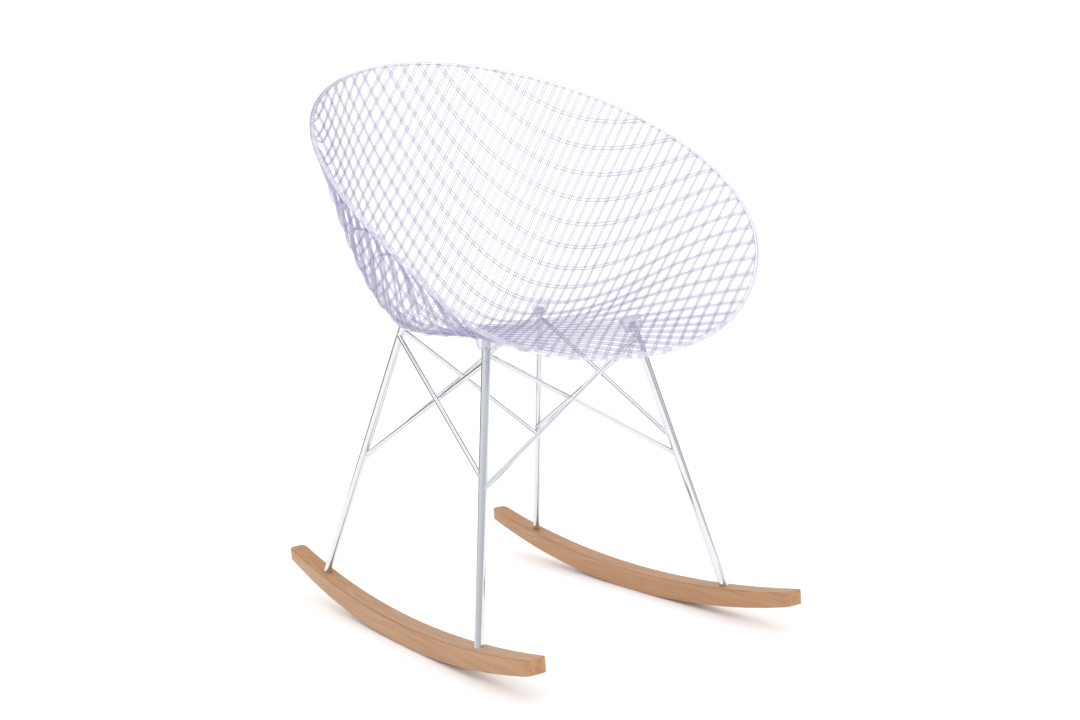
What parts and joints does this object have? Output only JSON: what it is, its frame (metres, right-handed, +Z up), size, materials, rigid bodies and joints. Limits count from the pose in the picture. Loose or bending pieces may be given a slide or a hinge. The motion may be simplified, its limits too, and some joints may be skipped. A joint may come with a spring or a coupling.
{
  "type": "rocking chair",
  "caption": "Low rocking chair with a clear openwork tub seat on braced chromed steel legs and curved wooden rockers.",
  "frame": {"origin": "On the floor, midway between the rockers, on the line where they touch the floor when the empty chair has come to rest, which is a little in front of the rockers' own middle.", "axes": "+Z up, the sitter faces -Y, +X to the sitter's left. The chair is its own mirror image across the plane X = 0."},
  "size_m": [0.5266, 0.7311, 0.763],
  "materials": {
    "clear_polycarbonate": "gloss",
    "chromed_steel": "polished",
    "beech": "satin",
    "zinc_plated_steel": "satin"
  },
  "bodies": {
    "root": {"brace_front_from_left": "chromed_steel", "brace_front_from_right": "chromed_steel", "brace_left_from_front": "chromed_steel", "brace_left_from_rear": "chromed_steel", "brace_rear_from_left": "chromed_steel", "brace_rear_from_right": "chromed_steel", "brace_right_from_front": "chromed_steel", "brace_right_from_rear": "chromed_steel", "foot_screws": "zinc_plated_steel", "leg_front_left": "chromed_steel", "leg_front_right": "chromed_steel", "leg_rear_left": "chromed_steel", "leg_rear_right": "chromed_steel", "leg_studs": "zinc_plated_steel", "rocker_left": "beech", "rocker_right": "beech", "seat_shell": "clear_polycarbonate", "socket_front_left": "clear_polycarbonate", "socket_front_right": "clear_polycarbonate", "socket_rear_left": "clear_polycarbonate", "socket_rear_right": "clear_polycarbonate"}
  },
  "joints": []
}
